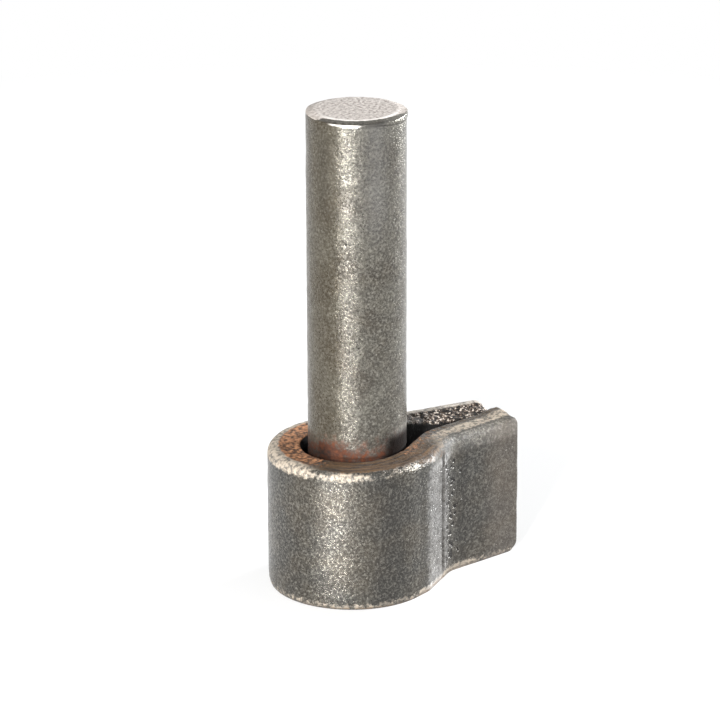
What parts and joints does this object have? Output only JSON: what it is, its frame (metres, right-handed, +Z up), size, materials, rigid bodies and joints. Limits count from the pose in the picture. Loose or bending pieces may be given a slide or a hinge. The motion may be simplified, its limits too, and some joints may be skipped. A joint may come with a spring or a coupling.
{
  "type": "gate hinge pin",
  "caption": "Weld-on gate hinge pin: an upright round bar held in a loop of flat bar whose two legs close to a flat weld tab.",
  "frame": {"origin": "on the pin's axis, at the pin's foot, level with the underside of the loop", "axes": "+Z up the pin, +X from the pin along the weld tab, -Y out of the tab's flat side"},
  "size_m": [0.0436, 0.0275, 0.08],
  "materials": {
    "pin_steel": "raw, mill scale",
    "strap_steel": "raw, mill scale with light rust",
    "weld_metal": "as welded"
  },
  "bodies": {
    "root": {"hinge_pin": "pin_steel", "wrapped_strap": "strap_steel", "weld_bead": "weld_metal"}
  },
  "joints": []
}
